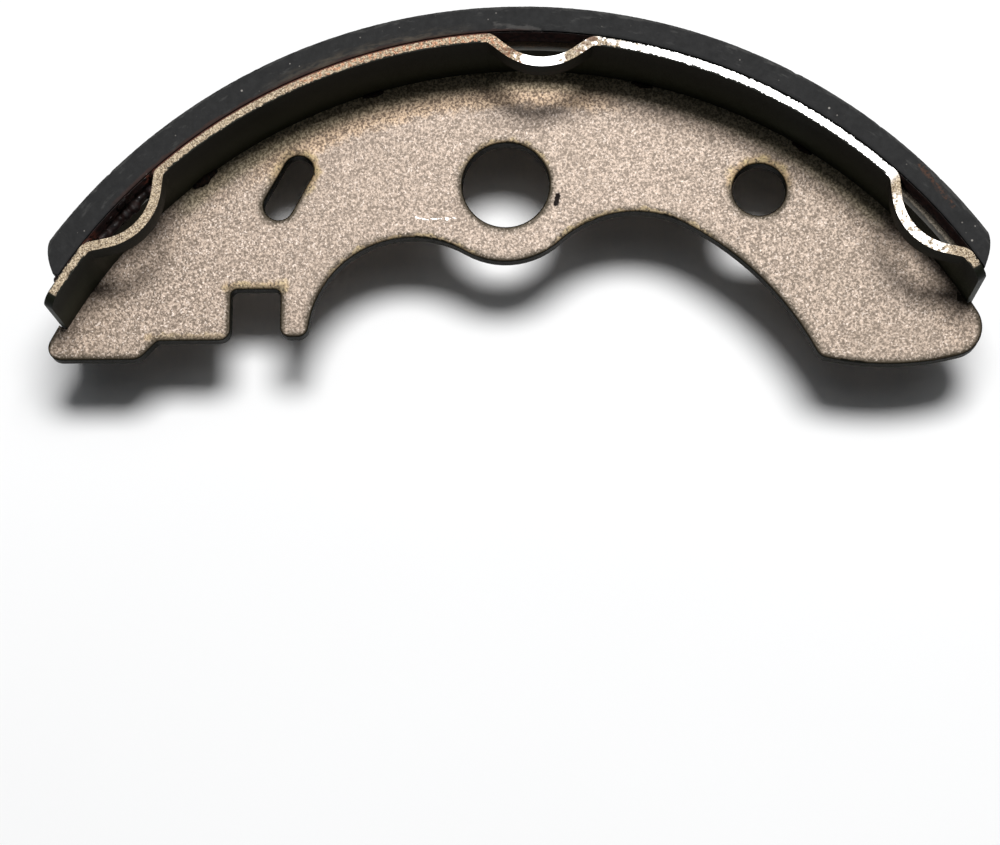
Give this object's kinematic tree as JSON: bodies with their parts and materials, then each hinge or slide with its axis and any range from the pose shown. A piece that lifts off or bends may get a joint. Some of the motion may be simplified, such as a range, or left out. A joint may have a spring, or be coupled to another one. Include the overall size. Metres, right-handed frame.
{
  "type": "brake shoe",
  "caption": "Drum brake shoe: a flat stamped web welded inside a rolled table with lanced edge nibs, and a bonded arc of friction lining.",
  "frame": {"origin": "centre of the web's large hole, on the web's mid-plane", "axes": "+X along the shoe from the notched end to the plain foot, +Y from the web towards the lining, +Z along the drum's axis, square to the web"},
  "size_m": [0.1503, 0.0555, 0.032],
  "materials": {
    "web_steel": "grainy phosphate coat over blasted steel, with brown stains at edges and holes",
    "table_steel": "dark phosphate coat, bright and grainy on the cut edges",
    "friction_material": "matte moulded friction compound with pale specks",
    "adhesive_resin": "cured dark red-brown bonding resin, glossy where it ran out",
    "weld_metal": "rusty weld metal"
  },
  "bodies": {
    "root": {"web": "web_steel", "table": "table_steel", "friction_lining": "friction_material", "adhesive": "adhesive_resin", "weld_beads": "weld_metal"}
  },
  "joints": []
}
